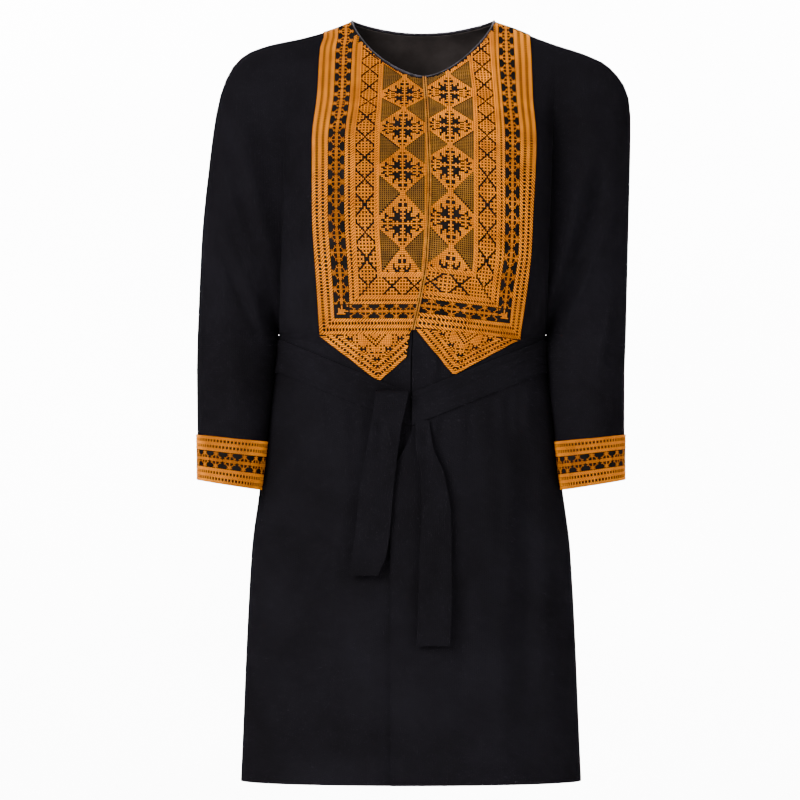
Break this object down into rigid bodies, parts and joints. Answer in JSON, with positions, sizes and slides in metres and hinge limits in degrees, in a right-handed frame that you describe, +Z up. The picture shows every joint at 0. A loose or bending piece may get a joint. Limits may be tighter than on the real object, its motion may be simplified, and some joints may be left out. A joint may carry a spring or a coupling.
{
  "type": "embroidered open-fronted manteau coat with tied belt",
  "caption": "Hollow worn-form black coat in kimono cut with embroidered plastrons and cuffs, open neck, hem and sleeves, and a tied belt",
  "frame": {"origin": "midway between the two points where the shoulder line meets the neck", "axes": "+Z up, the wearer faces -Y, the wearer's left is +X"},
  "size_m": [0.5155, 0.2808, 0.9019],
  "materials": {
    "coat_cloth": "matte woven",
    "embroidery": "satin thread on black ground",
    "edge_cord": "twisted thread",
    "binding": "matte bias tape"
  },
  "bodies": {
    "root": {"front_right": "coat_cloth", "front_left": "coat_cloth", "back_right": "coat_cloth", "back_left": "coat_cloth", "back_neck_facing": "coat_cloth", "neck_binding": "binding", "plastron_right": "embroidery", "plastron_left": "embroidery", "edge_piping_right": "edge_cord", "edge_piping_left": "edge_cord", "cuff_band_right": "embroidery", "cuff_band_left": "embroidery", "belt_back": "coat_cloth", "belt_right": "coat_cloth", "belt_left": "coat_cloth", "belt_knot": "coat_cloth", "belt_tail_right": "coat_cloth", "belt_tail_left": "coat_cloth"}
  },
  "joints": []
}
